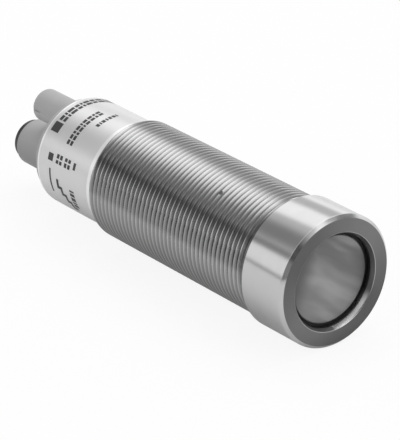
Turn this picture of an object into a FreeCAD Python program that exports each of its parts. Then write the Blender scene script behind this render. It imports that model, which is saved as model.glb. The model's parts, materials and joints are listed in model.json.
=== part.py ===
import FreeCAD, Part
import os
import re
import Sketcher
from FreeCAD import Placement, Rotation, Vector

# Ultrasonic sensor in an M30 threaded barrel, in millimetres.
# The sound leaves along +X from the front face, whose centre is the origin, and +Z is up.
# Depths are counted from the front face towards the rear, so a point at a depth has x = -depth.

SIZES = {
    # Head ring, screwed over the nose of the barrel
    "ring_wall": 2.8,
    "ring_length": 13.8,
    "ring_front_chamfer": 0.8,
    "ring_rear_chamfer": 0.3,
    "lip_width": 1.86,
    "mouth_bevel_width": 0.38,
    "mouth_bevel_depth": 1.17,
    "lip_thickness": 4.0,
    # Threaded barrel: a bore, and the wall round it under each stretch of its outside
    "bore_radius": 12.2,
    "nose_wall": 0.95,
    "nose_play": 0.05,
    "relief_wall": 1.9,
    "relief_width": 0.8,
    "thread_wall": 2.8,
    "thread_length": 58.9,
    "thread_lead_in": 0.7,
    "thread_runout": 1.1,
    "seat_wall": 1.63,
    # Printed foil round the rear of the barrel
    "label_thickness": 0.1,
    "label_length": 21.3,
    # Transducer behind the mouth of the head ring
    "membrane_gap": 0.74,
    "membrane_recess": 1.97,
    "membrane_thickness": 0.5,
    "membrane_edge": 0.35,
    "cup_wall": 0.5,
    "cup_flange_thickness": 0.7,
    "cup_flange_clearance": 0.25,
    "front_seal_side": 0.9,
    "decoupling_recess": 2.6,
    "stack_play": 0.03,
    "matching_thickness": 2.7,
    "piezo_margin": 2.1,
    "piezo_thickness": 2.0,
    "damping_thickness": 8.8,
    "carrier_floor": 2.0,
    "carrier_arm_length": 8.0,
    "carrier_arm_wall": 3.0,
    "carrier_arm_width": 7.0,
    # Circuit board along the axis
    "board_slot_depth": 1.25,
    "board_thickness": 1.2,
    "board_front_gap": 0.6,
    "board_rear_gap": 1.83,
    "board_play": 0.05,
    # Leads from the piezo disc to the board
    "lead_radius": 0.3,
    "lead_offset": 3.5,
    "lead_overlap": 3.0,
    # Transformer
    "core_radius": 4.6,
    "core_height": 7.4,
    "core_wall": 1.2,
    "core_post_radius": 1.8,
    "core_window": 5.0,
    "winding_play": 0.15,
    # Packages on the board
    "lead_frame_width": 0.4,
    "lead_frame_thickness": 0.2,
    "lead_frame_reach": 1.0,
    "package_standoff": 0.1,
    "amplifier_length": 4.9,
    "amplifier_width": 3.9,
    "amplifier_height": 1.4,
    "amplifier_pitch": 1.27,
    "amplifier_leads": 4,
    "controller_side": 10.0,
    "controller_height": 1.4,
    "controller_pitch": 0.8,
    "controller_leads": 8,
    "crystal_length": 11.0,
    "crystal_width": 4.6,
    "crystal_height": 3.5,
    "capacitor_radius": 3.15,
    "capacitor_height": 5.4,
    "capacitor_foot": 0.8,
    "driver_offset": 4.6,
    "driver_length": 6.5,
    "driver_width": 3.5,
    "driver_height": 1.6,
    "driver_pitch": 2.3,
    "driver_leads": 3,
    "regulator_gap": 17.0,
    "regulator_length": 6.6,
    "regulator_width": 6.1,
    "regulator_height": 2.3,
    "regulator_pitch": 2.28,
    "regulator_leads": 3,
    "chip_length": 1.6,
    "chip_width": 0.8,
    "chip_height": 0.5,
    "chip_pitch": 3.4,
    "chip_edge_distance": 2.6,
    "chip_row_start": 10.0,
    "chip_count": 12,
    # Moulded end cap
    "cap_step": 0.83,
    "cap_rim_thickness": 2.2,
    "cap_rim_chamfer": 0.4,
    "cap_wall": 3.5,
    "spigot_length": 9.0,
    "spigot_wall": 2.6,
    "spigot_play": 0.05,
    "cap_seal_side": 1.2,
    "cap_seal_groove": 1.6,
    "cap_seal_setback": 3.0,
    # Round connector tower and its insert
    "tower_wall": 0.7,
    "tower_length": 18.4,
    "tower_end_chamfer": 0.3,
    "insert_radius": 5.2,
    "insert_play": 0.05,
    "insert_protrusion": 2.0,
    "insert_end_chamfer": 0.3,
    "insert_wall": 0.9,
    "insert_cavity_depth": 8.0,
    "insert_flange_step": 0.25,
    "insert_flange_thickness": 1.6,
    "insert_key_width": 1.0,
    "insert_key_height": 0.6,
    "pin_radius": 0.5,
    "pin_circle_radius": 2.5,
    "pin_recess": 1.2,
    "pin_row_step": 1.5,
    "pin_edge_distance": 1.3,
    "pin_stick_out": 0.5,
    "pin_hole_play": 0.06,
    # Socket for the removable plug
    "socket_radius": 3.0,
    "socket_depth": 7.0,
    "socket_wall": 1.4,
    "socket_edge_gap": 0.25,
    "socket_floor": 1.0,
    "key_slot_width": 1.1,
    "key_slot_reach": 0.6,
    "key_play": 0.1,
    "socket_pin_radius": 0.3,
    "socket_pin_offset": 1.2,
    "socket_pin_length": 3.5,
    "socket_pin_setback": 2.4,
    # Removable plug
    "plug_radius": 4.15,
    "plug_tower_gap": 1.58,
    "plug_length": 13.2,
    "plug_face_gap": 0.1,
    "plug_end_rounding": 0.5,
    "plug_wall": 1.0,
    "plug_end_wall": 1.2,
    "plug_spigot_length": 6.0,
    "plug_spigot_play": 0.08,
    "plug_core_length": 4.0,
    "plug_core_play": 0.05,
    "plug_key_length": 3.5,
    "plug_seal_side": 0.7,
    "plug_contact_radius": 0.5,
    "plug_contact_bore": 0.36,
    "plug_contact_length": 4.6,
    "plug_mark_width": 0.7,
    "plug_mark_depth": 0.25,
    "plug_mark_length": 3.0,
    "probe_radius": 1.1,
    "probe_length": 4.0,
    # Lamps and the rods that carry their light to the rear face
    "lamp_edge_distance": 3.8,
    "lamp_width": 2.4,
    "lamp_height": 2.0,
    "lamp_length": 2.0,
    "lamp_setback": 0.8,
    "guide_radius": 0.9,
    "guide_play": 0.04,
    "guide_end_gap": 0.2,
}

doc = FreeCAD.newDocument("ultrasonic_sensor")
sheet = doc.addObject("Spreadsheet::Sheet", "Sizes")
for row, (alias, value) in enumerate(SIZES.items(), start=1):
    sheet.set(f"A{row}", alias)
    sheet.set(f"B{row}", str(value))
    sheet.setAlias(f"B{row}", alias)
doc.recompute()

NODES = []


def bind(text):
    """Turn words such as ring_length into references to the cells of the sheet."""
    return re.sub(r"[a-z]+_[a-z_]+", lambda word: "Sizes." + word.group(0), text)


# Radii, from the bore outwards and then inwards
NOSE_RADIUS = "(bore_radius + nose_wall)"
RELIEF_RADIUS = "(bore_radius + relief_wall)"
THREAD_RADIUS = "(bore_radius + thread_wall)"
SEAT_RADIUS = "(bore_radius + seat_wall)"
LABEL_RADIUS = f"({SEAT_RADIUS} + label_thickness)"
CAP_RADIUS = f"({LABEL_RADIUS} - cap_step)"
RING_BORE = f"({NOSE_RADIUS} + nose_play)"
RING_RADIUS = f"({RING_BORE} + ring_wall)"
MOUTH_RADIUS = f"({RING_BORE} - lip_width)"
MEMBRANE_RADIUS = f"({MOUTH_RADIUS} - membrane_gap)"
CUP_INNER = f"({MEMBRANE_RADIUS} - cup_wall)"
CUP_FLANGE_RADIUS = f"({NOSE_RADIUS} - cup_flange_clearance)"
PIEZO_RADIUS = f"({CUP_INNER} - piezo_margin)"
SPIGOT_RADIUS = "(bore_radius - spigot_play)"
SPIGOT_BORE = f"({SPIGOT_RADIUS} - spigot_wall)"
BOARD_EDGE = f"({SPIGOT_BORE} + board_slot_depth)"
INSERT_BORE = "(insert_radius + insert_play)"
TOWER_RADIUS = f"({INSERT_BORE} + tower_wall)"
INSERT_FLANGE_RADIUS = "(insert_radius + insert_flange_step)"
CAVITY_RADIUS = "(insert_radius - insert_wall)"

# Depths and heights that several pieces share
FLANGE_FRONT = "(lip_thickness + front_seal_side)"
FLANGE_REAR = f"({FLANGE_FRONT} + cup_flange_thickness)"
THREAD_FRONT = "(ring_length + relief_width)"
THREAD_REAR = f"({THREAD_FRONT} + thread_length)"
BARREL_END = f"({THREAD_REAR} + label_length)"
CAP_REAR = f"({BARREL_END} + cap_rim_thickness)"
MATCHING_FRONT = "(membrane_recess + membrane_thickness)"
PIEZO_FRONT = f"({MATCHING_FRONT} + matching_thickness)"
PIEZO_REAR = f"({PIEZO_FRONT} + piezo_thickness)"
DAMPING_REAR = f"({PIEZO_FRONT} + damping_thickness)"
CARRIER_REAR = f"({DAMPING_REAR} + carrier_floor)"
CAP_INNER = f"({CAP_REAR} - cap_wall)"
SPIGOT_FRONT = f"({BARREL_END} - spigot_length)"
GROOVE_REAR = f"({BARREL_END} - cap_seal_setback)"
TOWER_END = f"({CAP_REAR} + tower_length)"
INSERT_END = f"({TOWER_END} + insert_protrusion)"
INSERT_FRONT = f"({CAP_INNER} - insert_flange_thickness)"
CAVITY_FLOOR = f"({INSERT_END} - insert_cavity_depth)"
BOARD_FRONT = f"({CARRIER_REAR} + board_front_gap)"
BOARD_REAR = f"({INSERT_FRONT} - board_rear_gap)"
BOARD_TOP = "(board_thickness / 2)"
LEAD_RISE = f"({BOARD_TOP} + lead_radius)"
SOCKET_RISE = f"({SPIGOT_RADIUS} - socket_edge_gap - socket_wall - socket_radius)"
TOWER_DROP = f"({TOWER_RADIUS} + plug_tower_gap + plug_radius - {SOCKET_RISE})"
SOCKET_FLOOR = f"({CAP_REAR} - socket_depth)"
SOCKET_INNER = f"({SOCKET_FLOOR} - socket_floor)"
PLUG_FRONT = f"({CAP_REAR} + plug_face_gap)"
PLUG_END = f"({PLUG_FRONT} + plug_length)"
PLUG_TIP = f"({PLUG_FRONT} - plug_spigot_length)"
LAMP_REAR = f"({BOARD_REAR} - lamp_setback)"
LAMP_RISE = f"({BOARD_TOP} + lamp_height / 2)"
LAMP_SIDE = f"({BOARD_EDGE} - lamp_edge_distance)"


def contact_bend(order):
    return f"({BOARD_REAR} - pin_edge_distance - {order} * pin_row_step)"


def socket_bend(order):
    return f"({SPIGOT_FRONT} - socket_pin_setback - {order} * pin_row_step)"


# Packages along the top of the board, with seven equal gaps between the leads and the socket's pins
ROW_GAP_COUNT = 7
ROW_START = f"({BOARD_FRONT} + lead_overlap)"
ROW_END = f"({socket_bend(1)} - socket_pin_radius)"
ROW_LENGTHS = "(2 * core_radius + amplifier_length + controller_side + crystal_width + 4 * capacitor_radius)"
ROW_GAP = f"(({ROW_END} - {ROW_START} - {ROW_LENGTHS}) / {ROW_GAP_COUNT})"
CORE_CENTRE = f"({ROW_START} + {ROW_GAP} + core_radius)"
AMPLIFIER_CENTRE = f"({CORE_CENTRE} + core_radius + {ROW_GAP} + amplifier_length / 2)"
CONTROLLER_CENTRE = f"({AMPLIFIER_CENTRE} + amplifier_length / 2 + {ROW_GAP} + controller_side / 2)"
CAPACITOR_CENTRES = [
    f"({ROW_END} - 2 * {ROW_GAP} - 3 * capacitor_radius)",
    f"({ROW_END} - {ROW_GAP} - capacitor_radius)",
]
CRYSTAL_CENTRE = f"({CAPACITOR_CENTRES[0]} - capacitor_radius - {ROW_GAP} - crystal_width / 2)"
REGULATOR_CENTRE = f"({CORE_CENTRE} + driver_length / 2 + regulator_gap + regulator_length / 2)"


def new_body(label, depth="0", side="0", height="0", upside_down=False):
    """Empty body for the node of that name, with its own origin at the place given."""
    body = doc.addObject("PartDesign::Body", label)
    body.Label = label
    if upside_down:
        body.Placement = Placement(Vector(), Rotation(Vector(1, 0, 0), 180))
    for axis, place in (("x", f"-{depth}"), ("y", side), ("z", height)):
        if place not in ("0", "-0"):
            body.setExpression(f"Placement.Base.{axis}", bind(place))
    NODES.append(body)
    return body


def sketch_on(body, role, offset="0", flipped=False):
    """Sketch on an origin plane of its body; flipped turns its first axis from +X to -X, along the depths."""
    sketch = body.newObject("Sketcher::SketchObject", f"{body.Name}_sketch")
    support = next(item for item in body.Origin.OriginFeatures if item.Role == role)
    sketch.AttachmentSupport = (support, [""])
    sketch.MapMode = "FlatFace"
    if flipped:
        sketch.AttachmentOffset = Placement(Vector(), Rotation(Vector(0, 1, 0), 180))
    if offset != "0":
        sketch.setExpression("AttachmentOffset.Base.z", bind(offset))
    return sketch


def across(body, depth="0"):
    """Sketch across the X axis at a depth, with Y as its first and Z as its second coordinate."""
    return sketch_on(body, "YZ_Plane", offset="0" if depth == "0" else f"-{depth}")


def level(body, height="0"):
    """Sketch parallel to the XY plane at a height."""
    return sketch_on(body, "XY_Plane", offset=height)


def dimension(sketch, kind, geometry, point, text):
    """Tie a point's distance from the sketch's origin to a size; a leading minus is the other side."""
    if text == "0":
        axis = -2 if kind == "DistanceX" else -1
        sketch.addConstraint(Sketcher.Constraint("PointOnObject", geometry, point, axis))
        return
    ends = (geometry, point, -1, 1) if text.startswith("-") else (-1, 1, geometry, point)
    index = sketch.addConstraint(Sketcher.Constraint(kind, *ends, 1.0))
    sketch.setExpression(f"Constraints[{index}]", bind(text.removeprefix("-")))


def outline(sketch, corners):
    """Closed outline of straight edges; every corner is a pair of sizes measured from the sketch's origin."""
    first = sketch.GeometryCount
    count = len(corners)
    places = []
    for number, (right, up) in enumerate(corners, start=1):
        places.append(Vector(-number if right.startswith("-") else number, number * number % 7 + 1, 0))
        if up.startswith("-"):
            places[-1].y *= -1
    for number in range(count):
        sketch.addGeometry(Part.LineSegment(places[number], places[(number + 1) % count]), False)
    for number, (right, up) in enumerate(corners):
        following = first + (number + 1) % count
        sketch.addConstraint(Sketcher.Constraint("Coincident", first + number, 2, following, 1))
        dimension(sketch, "DistanceX", first + number, 1, right)
        dimension(sketch, "DistanceY", first + number, 1, up)


def rectangle(sketch, low_right, high_right, low_up, high_up):
    outline(sketch, [(low_right, low_up), (high_right, low_up), (high_right, high_up), (low_right, high_up)])


def circle(sketch, right, up, radius):
    """Circle whose centre and radius are sizes."""
    centre = Vector(-1 if right.startswith("-") else 1, -1 if up.startswith("-") else 1, 0)
    number = sketch.addGeometry(Part.Circle(centre, Vector(0, 0, 1), 1.0), False)
    dimension(sketch, "DistanceX", number, 3, right)
    dimension(sketch, "DistanceY", number, 3, up)
    index = sketch.addConstraint(Sketcher.Constraint("Radius", number, 1.0))
    sketch.setExpression(f"Constraints[{index}]", bind(radius))


def revolve(body, corners, kind="PartDesign::Revolution"):
    """Turn an outline of (depth, radius) corners about the X axis."""
    sketch = sketch_on(body, "XZ_Plane", flipped=True)
    outline(sketch, corners)
    feature = body.newObject(kind, f"{body.Name}_turned")
    feature.Profile = sketch
    feature.ReferenceAxis = (sketch, ["H_Axis"])
    feature.Angle = 360.0
    return feature


def turned(label, corners, height="0"):
    """Body of revolution about a line parallel to the X axis at that height."""
    body = new_body(label, height=height)
    revolve(body, corners)
    return body


def pad(body, sketch, length, reverse=False):
    """Pad a sketch; across the X axis this runs to the front, or to the rear when reversed."""
    feature = body.newObject("PartDesign::Pad", f"{body.Name}_pad")
    feature.Profile = sketch
    feature.setExpression("Length", bind(length))
    feature.Reversed = reverse
    return feature


def pocket(body, sketch, length, reverse=False):
    """Cut a sketch into its body; across the X axis this runs to the rear, or to the front when reversed."""
    feature = body.newObject("PartDesign::Pocket", f"{body.Name}_pocket")
    feature.Profile = sketch
    feature.setExpression("Length", bind(length))
    feature.Reversed = reverse
    return feature


def dress_rim(body, kind, rim_depth, rim_radius, size):
    """Fillet or chamfer the circular edge of a radius that lies at a depth."""
    doc.recompute()
    probe = doc.addObject("App::FeaturePython", f"{body.Name}_rim")
    probe.addProperty("App::PropertyFloat", "Depth")
    probe.addProperty("App::PropertyFloat", "Radius")
    probe.setExpression("Depth", bind(rim_depth))
    probe.setExpression("Radius", bind(rim_radius))
    doc.recompute()
    names = []
    for number, edge in enumerate(body.Shape.Edges, start=1):
        box = edge.BoundBox
        flat = abs(box.XMin + probe.Depth) < 1e-4 and abs(box.XMax + probe.Depth) < 1e-4
        if flat and hasattr(edge.Curve, "Radius") and abs(edge.Curve.Radius - probe.Radius) < 1e-4:
            names.append(f"Edge{number}")
    base = body.Tip
    feature = body.newObject(f"PartDesign::{kind}", f"{body.Name}_{kind.lower()}")
    feature.Base = (base, names)
    feature.setExpression("Radius" if kind == "Fillet" else "Size", bind(size))


def seal_ring(label, front, inner_radius, side, height="0"):
    """Sealing ring of square cord about a line parallel to the X axis."""
    rear = f"({front} + {side})"
    outer_radius = f"({inner_radius} + {side})"
    turned(label, [
        (front, inner_radius),
        (front, outer_radius),
        (rear, outer_radius),
        (rear, inner_radius),
    ], height)


def head_ring():
    """Polished ring: bevelled mouth, lip in front of the transducer, counterbore for the nose."""
    turned("head_ring", [
        ("0", f"({MOUTH_RADIUS} + mouth_bevel_width)"),
        ("0", f"({RING_RADIUS} - ring_front_chamfer)"),
        ("ring_front_chamfer", RING_RADIUS),
        ("(ring_length - ring_rear_chamfer)", RING_RADIUS),
        ("ring_length", f"({RING_RADIUS} - ring_rear_chamfer)"),
        ("ring_length", RING_BORE),
        ("lip_thickness", RING_BORE),
        ("lip_thickness", MOUTH_RADIUS),
        ("mouth_bevel_depth", MOUTH_RADIUS),
    ])


def threaded_barrel():
    """Tube with a nose for the ring, a relief groove, the thread's outer cylinder and the foil's seat."""
    turned("threaded_barrel", [
        (FLANGE_REAR, "bore_radius"),
        (FLANGE_REAR, NOSE_RADIUS),
        ("ring_length", NOSE_RADIUS),
        ("ring_length", RELIEF_RADIUS),
        (THREAD_FRONT, RELIEF_RADIUS),
        (f"({THREAD_FRONT} + thread_lead_in)", THREAD_RADIUS),
        (f"({THREAD_REAR} - thread_runout)", THREAD_RADIUS),
        (THREAD_REAR, LABEL_RADIUS),
        (THREAD_REAR, SEAT_RADIUS),
        (BARREL_END, SEAT_RADIUS),
        (BARREL_END, "bore_radius"),
    ])


def label_band():
    turned("label_band", [
        (THREAD_REAR, SEAT_RADIUS),
        (THREAD_REAR, LABEL_RADIUS),
        (BARREL_END, LABEL_RADIUS),
        (BARREL_END, SEAT_RADIUS),
    ])


def membrane_cup():
    """Front disc, skirt and clamping flange of the transducer, drawn from one sheet."""
    turned("membrane_cup", [
        ("membrane_recess", "0"),
        ("membrane_recess", f"({MEMBRANE_RADIUS} - membrane_edge)"),
        ("(membrane_recess + membrane_edge)", MEMBRANE_RADIUS),
        (FLANGE_FRONT, MEMBRANE_RADIUS),
        (FLANGE_FRONT, CUP_FLANGE_RADIUS),
        (FLANGE_REAR, CUP_FLANGE_RADIUS),
        (FLANGE_REAR, CUP_INNER),
        (MATCHING_FRONT, CUP_INNER),
        (MATCHING_FRONT, "0"),
    ])


def transducer_stack():
    """Seal, soft ring, matching layer, piezo disc and damping block behind the front disc."""
    seal_inner_radius = f"(({CUP_FLANGE_RADIUS} + {MOUTH_RADIUS} - front_seal_side) / 2)"
    seal_ring("front_seal", "lip_thickness", seal_inner_radius, "front_seal_side")
    turned("decoupling_ring", [
        ("decoupling_recess", f"({MEMBRANE_RADIUS} + stack_play)"),
        ("decoupling_recess", f"({MOUTH_RADIUS} - stack_play)"),
        (FLANGE_FRONT, f"({MOUTH_RADIUS} - stack_play)"),
        (FLANGE_FRONT, f"({MEMBRANE_RADIUS} + stack_play)"),
    ])
    stack_radius = f"({CUP_INNER} - stack_play)"
    turned("matching_layer", [
        (MATCHING_FRONT, "0"),
        (MATCHING_FRONT, stack_radius),
        (PIEZO_FRONT, stack_radius),
        (PIEZO_FRONT, "0"),
    ])
    turned("piezo_disc", [
        (PIEZO_FRONT, "0"),
        (PIEZO_FRONT, PIEZO_RADIUS),
        (PIEZO_REAR, PIEZO_RADIUS),
        (PIEZO_REAR, "0"),
    ])
    damping = turned("damping_block", [
        (PIEZO_REAR, "0"),
        (PIEZO_REAR, f"({PIEZO_RADIUS} + stack_play)"),
        (PIEZO_FRONT, f"({PIEZO_RADIUS} + stack_play)"),
        (PIEZO_FRONT, stack_radius),
        (DAMPING_REAR, stack_radius),
        (DAMPING_REAR, "0"),
    ])
    lead_holes(damping, PIEZO_REAR, f"({DAMPING_REAR} - {PIEZO_REAR})")


def lead_holes(body, depth, length):
    """Two holes for the leads of the piezo disc, level with the top of the board."""
    sketch = across(body, depth)
    for sign in ("", "-"):
        circle(sketch, f"{sign}lead_offset", LEAD_RISE, "(lead_radius + stack_play)")
    pocket(body, sketch, length)


def transducer_carrier():
    """Cup behind the flange that holds the damping block, with two slotted arms for the board."""
    arm_end = f"({CARRIER_REAR} + carrier_arm_length)"
    arm_inner = f"({SPIGOT_RADIUS} - carrier_arm_wall)"
    carrier = turned("transducer_carrier", [
        (FLANGE_REAR, CUP_INNER),
        (FLANGE_REAR, SPIGOT_RADIUS),
        (arm_end, SPIGOT_RADIUS),
        (arm_end, arm_inner),
        (CARRIER_REAR, arm_inner),
        (CARRIER_REAR, "0"),
        (DAMPING_REAR, "0"),
        (DAMPING_REAR, CUP_INNER),
    ])
    for sign in ("", "-"):
        gap = across(carrier, CARRIER_REAR)
        rectangle(gap, "-bore_radius", "bore_radius", f"{sign}(carrier_arm_width / 2)", f"{sign}bore_radius")
        pocket(carrier, gap, "carrier_arm_length")
    board_slot(carrier, CARRIER_REAR, "carrier_arm_length")
    lead_holes(carrier, DAMPING_REAR, "carrier_floor")


def board_slot(body, depth, length):
    """Slot across a piece that the edges of the board slide into."""
    slot = across(body, depth)
    half_width = f"({BOARD_EDGE} + board_play)"
    half_height = "(board_thickness / 2 + board_play)"
    rectangle(slot, f"-{half_width}", half_width, f"-{half_height}", half_height)
    pocket(body, slot, length)


def piezo_leads():
    for number, sign in enumerate(("", "-"), start=1):
        lead = new_body(f"piezo_lead_{number}", PIEZO_REAR, f"{sign}lead_offset", LEAD_RISE)
        section = across(lead)
        circle(section, "0", "0", "lead_radius")
        pad(lead, section, f"({BOARD_FRONT} + lead_overlap - {PIEZO_REAR})", reverse=True)


# Pins on the corners of a square, as far from the centre as the pin circle says
PIN_SQUARE = "(pin_circle_radius * sqrt(0.5))"
# Signs of the side and the height of four places round a centre
QUARTERS = [("", ""), ("-", ""), ("", "-"), ("-", "-")]
# Side, height and order of bending of the five pins of the connector
CONTACT_PINS = [
    (PIN_SQUARE, f"-({TOWER_DROP} - {PIN_SQUARE})", 0),
    (f"-{PIN_SQUARE}", f"-({TOWER_DROP} - {PIN_SQUARE})", 0),
    ("0", f"-{TOWER_DROP}", 1),
    (PIN_SQUARE, f"-({TOWER_DROP} + {PIN_SQUARE})", 2),
    (f"-{PIN_SQUARE}", f"-({TOWER_DROP} + {PIN_SQUARE})", 2),
]
# Side, height and order of bending of the four pins in the plug socket
SOCKET_PINS = [
    ("socket_pin_offset", f"({SOCKET_RISE} - socket_pin_offset)", 0),
    ("-socket_pin_offset", f"({SOCKET_RISE} - socket_pin_offset)", 0),
    ("socket_pin_offset", f"({SOCKET_RISE} + socket_pin_offset)", 1),
    ("-socket_pin_offset", f"({SOCKET_RISE} + socket_pin_offset)", 1),
]


def circuit_board():
    """Long board with holes for the pins of the connector and of the plug socket."""
    board = new_body("circuit_board")
    blank = level(board, f"-{BOARD_TOP}")
    rectangle(blank, f"-{BOARD_REAR}", f"-{BOARD_FRONT}", f"-{BOARD_EDGE}", BOARD_EDGE)
    pad(board, blank, "board_thickness")
    holes = level(board, BOARD_TOP)
    for side, _, order in CONTACT_PINS:
        circle(holes, f"-{contact_bend(order)}", side, "(pin_radius + pin_hole_play)")
    for side, _, order in SOCKET_PINS:
        circle(holes, f"-{socket_bend(order)}", side, "(socket_pin_radius + pin_hole_play)")
    pocket(board, holes, "board_thickness")


def bent_pin(label, place, tip, bend, radius, rises):
    """Round pin from its tip to the bend, and up or down from there through the board."""
    side, height, _ = place
    pin = new_body(label, bend, side, height)
    section = across(pin)
    circle(section, "0", "0", radius)
    pad(pin, section, f"({tip} - {bend})", reverse=True)
    foot = level(pin)
    circle(foot, "0", "0", radius)
    if rises:
        pad(pin, foot, f"({BOARD_TOP} + pin_stick_out - ({height}))")
    else:
        pad(pin, foot, f"({height} + {BOARD_TOP} + pin_stick_out)", reverse=True)
    corner = pin.newObject("PartDesign::AdditiveSphere", f"{label}_bend")
    corner.setExpression("Radius", bind(radius))


def connector_and_socket_pins():
    for number, place in enumerate(CONTACT_PINS, start=1):
        tip = f"({INSERT_END} - pin_recess)"
        bent_pin(f"contact_pin_{number}", place, tip, contact_bend(place[2]), "pin_radius", True)
    for number, place in enumerate(SOCKET_PINS, start=1):
        tip = f"({SOCKET_FLOOR} + socket_pin_length)"
        bent_pin(f"socket_pin_{number}", place, tip, socket_bend(place[2]), "socket_pin_radius", False)


def transformer():
    """Pot core with two side windows, and the winding round its centre post."""
    hollow = "(core_height - 2 * core_wall)"
    core = new_body("transformer_core", CORE_CENTRE, height=BOARD_TOP)
    base = level(core)
    circle(base, "0", "0", "core_radius")
    pad(core, base, "core_height")
    chamber = sketch_on(core, "XZ_Plane")
    rectangle(chamber, "core_post_radius", "(core_radius - core_wall)",
              "core_wall", "(core_height - core_wall)")
    cut = core.newObject("PartDesign::Groove", "transformer_core_chamber")
    cut.Profile = chamber
    cut.ReferenceAxis = (chamber, ["V_Axis"])
    cut.Angle = 360.0
    for sign in ("", "-"):
        window = level(core, "core_wall")
        rectangle(window, "-(core_window / 2)", "(core_window / 2)",
                  f"{sign}(core_post_radius + winding_play)", f"{sign}(core_radius + core_wall)")
        pocket(core, window, hollow, reverse=True)
    winding = new_body("transformer_winding", CORE_CENTRE, height=BOARD_TOP)
    coil = level(winding, "(core_wall + winding_play)")
    circle(coil, "0", "0", "(core_radius - core_wall - winding_play)")
    circle(coil, "0", "0", "(core_post_radius + winding_play)")
    pad(winding, coil, f"({hollow} - 2 * winding_play)")


def package(label, depth, length, width, height, leads, pitch, side="0", below=False, four_sides=False):
    """Moulded package on the board with rows of bent leads along two or all four of its sides."""
    rise = f"-{BOARD_TOP}" if below else BOARD_TOP
    body = new_body(label, depth, side, rise, upside_down=below)
    block = level(body, "package_standoff")
    rectangle(block, f"-({length} / 2)", f"({length} / 2)", f"-({width} / 2)", f"({width} / 2)")
    pad(body, block, height)
    lead_rows(body, "YZ_Plane", width, height, leads, pitch)
    if four_sides:
        lead_rows(body, "XZ_Plane", length, height, leads, pitch)


def lead_rows(body, role, span, height, leads, pitch):
    """Bent leads at both ends of a span, repeated along the package."""
    reach = f"(({leads} - 1) * {pitch})"
    section = sketch_on(body, role, offset=f"-({reach} / 2 + lead_frame_width / 2)")
    neck = f"(package_standoff + {height} / 2)"
    knee = f"({span} / 2 + lead_frame_reach / 2)"
    toe = f"({span} / 2 + lead_frame_reach)"
    root = f"({span} / 2 - lead_frame_thickness)"
    shin = f"({knee} + lead_frame_thickness)"
    under_neck = f"({neck} - lead_frame_thickness)"
    profile = [(root, neck), (shin, neck), (shin, "lead_frame_thickness"), (toe, "lead_frame_thickness"),
               (toe, "0"), (knee, "0"), (knee, under_neck), (root, under_neck)]
    for sign in ("", "-"):
        outline(section, [(f"{sign}{right}", up) for right, up in profile])
    lead = pad(body, section, "lead_frame_width")
    row = body.newObject("PartDesign::LinearPattern", f"{body.Name}_leads")
    row.Originals = [lead]
    row.Direction = (section, ["N_Axis"])
    row.setExpression("Length", bind(reach))
    row.setExpression("Occurrences", bind(leads))
    body.Tip = row


def board_packages():
    package("receiver_amplifier", AMPLIFIER_CENTRE, "amplifier_length", "amplifier_width",
            "amplifier_height", "amplifier_leads", "amplifier_pitch")
    package("microcontroller", CONTROLLER_CENTRE, "controller_side", "controller_side",
            "controller_height", "controller_leads", "controller_pitch", four_sides=True)
    for number, sign in enumerate(("", "-"), start=1):
        package(f"driver_transistor_{number}", CORE_CENTRE, "driver_length", "driver_width",
                "driver_height", "driver_leads", "driver_pitch", side=f"{sign}driver_offset", below=True)
    package("voltage_regulator", REGULATOR_CENTRE, "regulator_length", "regulator_width",
            "regulator_height", "regulator_leads", "regulator_pitch", below=True)


def crystal():
    """Metal can with round ends, lying across the board."""
    can = new_body("crystal", CRYSTAL_CENTRE, height=BOARD_TOP)
    half_straight = "((crystal_length - crystal_width) / 2)"
    middle = level(can)
    rectangle(middle, "-(crystal_width / 2)", "(crystal_width / 2)", f"-{half_straight}", half_straight)
    pad(can, middle, "crystal_height")
    for sign in ("", "-"):
        end = level(can)
        circle(end, "0", f"{sign}{half_straight}", "(crystal_width / 2)")
        pad(can, end, "crystal_height")


def buffer_capacitors():
    """Two round cans on square feet, one behind the other."""
    for number, depth in enumerate(CAPACITOR_CENTRES, start=1):
        can = new_body(f"buffer_capacitor_{number}", depth, height=BOARD_TOP)
        foot = level(can)
        rectangle(foot, "-capacitor_radius", "capacitor_radius", "-capacitor_radius", "capacitor_radius")
        pad(can, foot, "capacitor_foot")
        barrel = level(can, "capacitor_foot")
        circle(barrel, "0", "0", "capacitor_radius")
        pad(can, barrel, "(capacitor_height - capacitor_foot)")


def chip_components():
    """Two rows of small chip parts along the edges of the board."""
    chips = new_body("chip_components")
    chips.AllowCompound = True
    for sign in ("", "-"):
        first = level(chips, BOARD_TOP)
        rectangle(first, f"-({BOARD_FRONT} + chip_row_start + chip_length)",
                  f"-({BOARD_FRONT} + chip_row_start)",
                  f"{sign}({BOARD_EDGE} - chip_edge_distance - chip_width / 2)",
                  f"{sign}({BOARD_EDGE} - chip_edge_distance + chip_width / 2)")
        chip = pad(chips, first, "chip_height")
        row = chips.newObject("PartDesign::LinearPattern", "chip_components_row")
        row.Originals = [chip]
        row.Direction = (first, ["H_Axis"])
        row.Reversed = True
        row.setExpression("Length", bind("(chip_count - 1) * chip_pitch"))
        row.setExpression("Occurrences", bind("chip_count"))
        chips.Tip = row


def lamps_and_guides():
    """Side-looking lamps at the rear of the board, and the rods that carry their light outside."""
    for number, sign in enumerate(("", "-"), start=1):
        lamp = new_body(f"status_led_{number}", LAMP_REAR, f"{sign}{LAMP_SIDE}", LAMP_RISE)
        block = across(lamp)
        rectangle(block, "-(lamp_width / 2)", "(lamp_width / 2)", "-(lamp_height / 2)", "(lamp_height / 2)")
        pad(lamp, block, "lamp_length")
        guide_front = f"({LAMP_REAR} + guide_end_gap)"
        guide = new_body(f"light_guide_{number}", guide_front, f"{sign}{LAMP_SIDE}", LAMP_RISE)
        rod = across(guide)
        circle(rod, "0", "0", "guide_radius")
        pad(guide, rod, f"({CAP_REAR} - {LAMP_REAR} - guide_end_gap)", reverse=True)


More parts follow.
